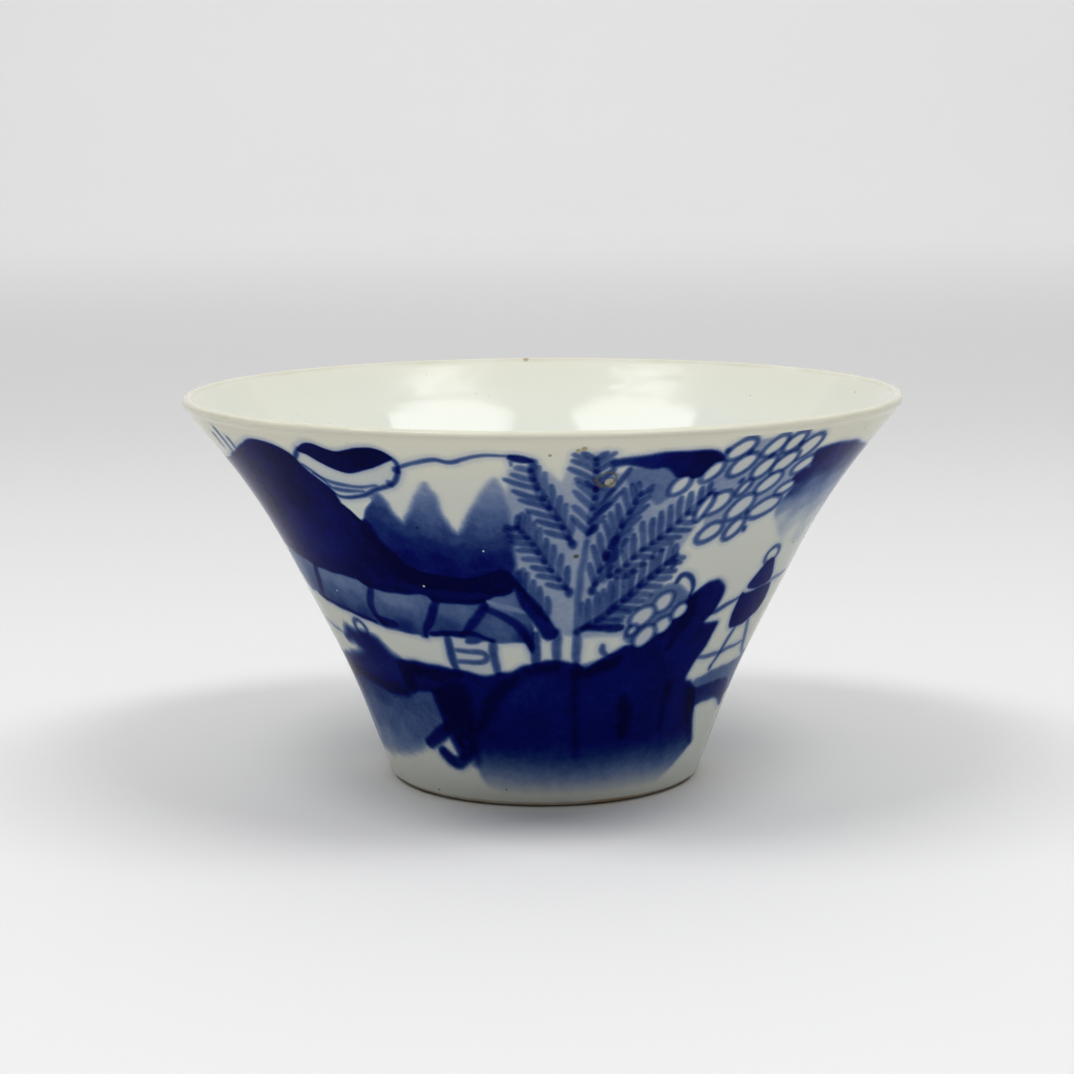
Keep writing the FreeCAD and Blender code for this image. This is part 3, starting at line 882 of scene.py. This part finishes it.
for angle, height, size, hollow, colour in KILN_MARKS:
    radius = float(wall_radius(height))
    place = (radius * math.sin(angle * DEGREE) * MM, -radius * math.cos(angle * DEGREE) * MM, height * MM)
    share = outer.math("ADD", outer.math("DIVIDE", outer.distance(place), size * MM), ragged)
    mark = outer.level(share, 0.8, 1.15, 1.0, 0.0)
    if hollow:
        mark = outer.math("MULTIPLY", mark, outer.level(share, hollow - 0.15, hollow + 0.1))
    painted_wall = outer.mix(mark, painted_wall, colour)
glassy(outer, painted_wall, gloss=0.015)
bm = coat(wall_line, steps=232)
painted(bm, painting, 3)
unrolled(bm)
fired("outer_coat", bm, outer, "outer_glaze")

# ----------------------------------------------------------------------------
# The studio: a pale seamless floor that sweeps up behind, two softboxes overhead that the hollow
# of the cup mirrors as two bright patches, and a wide soft fill.
def backdrop_mesh(depth, width, rise, sweep, steps=24):
    """A floor, a quarter round and a wall, drawn as one line and pulled sideways, in metres."""
    bm = bmesh.new()
    line = [(-depth, 0.0), (depth - sweep, 0.0)]
    line += [(depth - sweep + sweep * math.sin(turn), sweep - sweep * math.cos(turn))
             for turn in np.linspace(0, math.pi / 2, steps)[1:]]
    line.append((depth, rise))
    verts = [bm.verts.new((-width, y, z)) for y, z in line]
    edges = [bm.edges.new(pair) for pair in zip(verts, verts[1:])]
    pulled = bmesh.ops.extrude_edge_only(bm, edges=edges)
    bmesh.ops.translate(bm, vec=(2 * width, 0, 0),
                        verts=[item for item in pulled["geom"] if isinstance(item, bmesh.types.BMVert)])
    for face in bm.faces:
        face.smooth = True
    bmesh.ops.recalc_face_normals(bm, faces=bm.faces)
    return bm


PAPER_GREY = (0.75, 0.75, 0.75)
PAPER_PALE = (0.77, 0.77, 0.77)

paper = Material("seamless_paper")
paper.link(Base_Color=paper.mix(paper.noise(3.0), PAPER_GREY, PAPER_PALE))
paper.set(Roughness=0.9, IOR=1.2)
mesh = bpy.data.meshes.new("studio_floor")
bm = backdrop_mesh(depth=2.6, width=3.0, rise=2.4, sweep=0.9)
bm.to_mesh(mesh)
bm.free()
mesh.materials.append(paper.made)
floor = bpy.data.objects.new("studio_floor", mesh)
bpy.context.scene.collection.objects.link(floor)


def softbox(name, place, turn, size, power):
    """A broad studio light. Unturned, it faces the floor."""
    lamp = bpy.data.lights.new(name, "AREA")
    lamp.shape = "RECTANGLE"
    lamp.size, lamp.size_y = size
    lamp.energy = power
    light = bpy.data.objects.new(name, lamp)
    light.location = place
    light.rotation_euler = turn
    bpy.context.scene.collection.objects.link(light)


LAMP_HEIGHT = 0.62                               # over the wall that mirrors the pair; it sets their size
MIRROR_LEVEL = 0.04                              # where that wall is, above the table
LAMP_TURN = math.radians(34)
LAMP_SIDE, LAMP_FRONT = 0.48 * LAMP_HEIGHT, 0.193 * LAMP_HEIGHT
LAMP_SIZE = (0.66 * LAMP_HEIGHT, 0.286 * LAMP_HEIGHT)
for name, side in (("softbox_left", -1), ("softbox_right", 1)):
    softbox(name, (side * LAMP_SIDE, -LAMP_FRONT, LAMP_HEIGHT + MIRROR_LEVEL), (0, 0, side * LAMP_TURN),
            LAMP_SIZE, power=2.05)
softbox("ceiling", (0, 0.3, 1.9), (0, 0, 0), (5.0, 5.0), power=52.0)
softbox("backdrop_light", (0, 0.9, 1.7), (math.radians(72), 0, 0), (3.0, 1.0), power=28.0)

world = bpy.data.worlds.new("studio")
bpy.context.scene.world = world
world.use_nodes = True
sky = world.node_tree.nodes["Background"].inputs
sky["Color"].default_value = (1.0, 1.0, 1.0, 1.0)
sky["Strength"].default_value = 0.05
bpy.context.scene.view_settings.view_transform = "Standard"

# ----------------------------------------------------------------------------
# The camera: close in front of the cup and a little above its lip, looking slightly down.
CAMERA_PLACE = (0.0, -0.300, 0.07646)
CAMERA_TILT, CAMERA_ROLL, CAMERA_YAW = (math.radians(angle) for angle in (9.147, -0.367, 0.145))
camera = bpy.data.objects.new("camera", bpy.data.cameras.new("camera"))
camera.data.lens = 85.87
camera.data.sensor_width = 36.0
camera.matrix_world = (Matrix.Translation(CAMERA_PLACE) @ Matrix.Rotation(CAMERA_YAW, 4, "Z")
                       @ Matrix.Rotation(math.pi / 2 - CAMERA_TILT, 4, "X")
                       @ Matrix.Rotation(CAMERA_ROLL, 4, "Z"))
bpy.context.scene.collection.objects.link(camera)
bpy.context.scene.camera = camera
